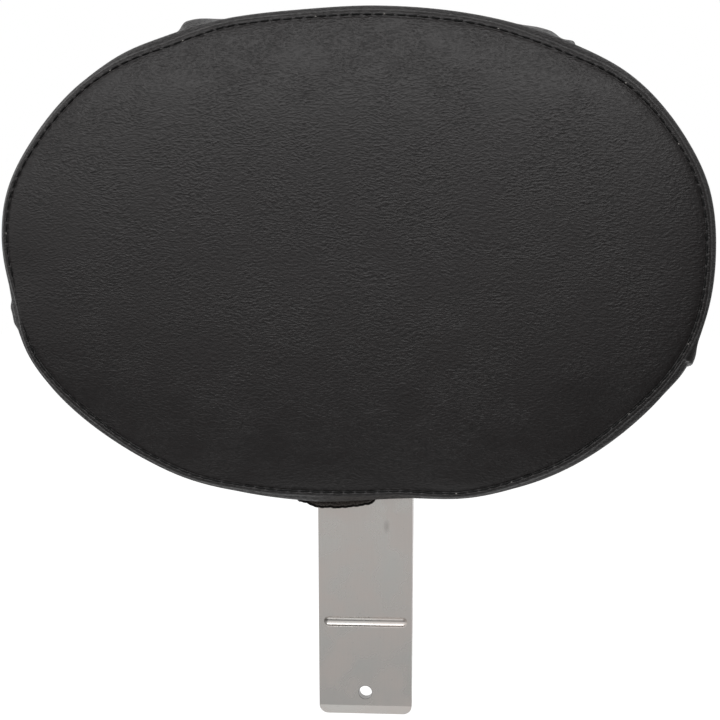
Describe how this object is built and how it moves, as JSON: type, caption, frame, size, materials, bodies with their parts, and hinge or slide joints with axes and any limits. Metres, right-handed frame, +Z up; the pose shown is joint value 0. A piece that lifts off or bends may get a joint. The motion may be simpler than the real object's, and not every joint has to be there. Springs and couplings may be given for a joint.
{
  "type": "motorcycle driver backrest",
  "caption": "Oval upholstered backrest pad on a flat steel blade that slides into a bracket on the motorcycle and is held by a pin through its hole.",
  "frame": {"origin": "middle of the blade's bottom end, in the middle of its width and thickness", "axes": "+Z up along the blade, -Y out of the pad's front, +X to the right seen from the front"},
  "size_m": [0.3278, 0.073, 0.3354],
  "materials": {
    "bright_steel": "bright plated flat bar with a fine mottle and light handling marks",
    "vinyl": "black leather-grained upholstery vinyl, satin",
    "foam": "moulded seat foam",
    "plywood": "bare plywood",
    "hardboard": "bare hardboard",
    "zinc": "bright zinc plating",
    "nylon": "black moulded nylon"
  },
  "bodies": {
    "root": {"blade": "bright_steel", "base_board": "plywood", "foam_pad": "foam", "front_cover": "vinyl", "side_band": "vinyl", "staples": "zinc", "tee_nut_1": "zinc", "tee_nut_2": "zinc", "tee_nut_3": "zinc", "tee_nut_4": "zinc", "blade_screw_1": "zinc", "blade_screw_2": "zinc", "blade_screw_3": "zinc", "blade_screw_4": "zinc", "rear_panel_board": "hardboard", "rear_panel_cover": "vinyl", "trim_clip_1": "nylon", "trim_clip_2": "nylon", "trim_clip_3": "nylon", "trim_clip_4": "nylon", "trim_clip_5": "nylon", "trim_clip_6": "nylon"}
  },
  "joints": []
}
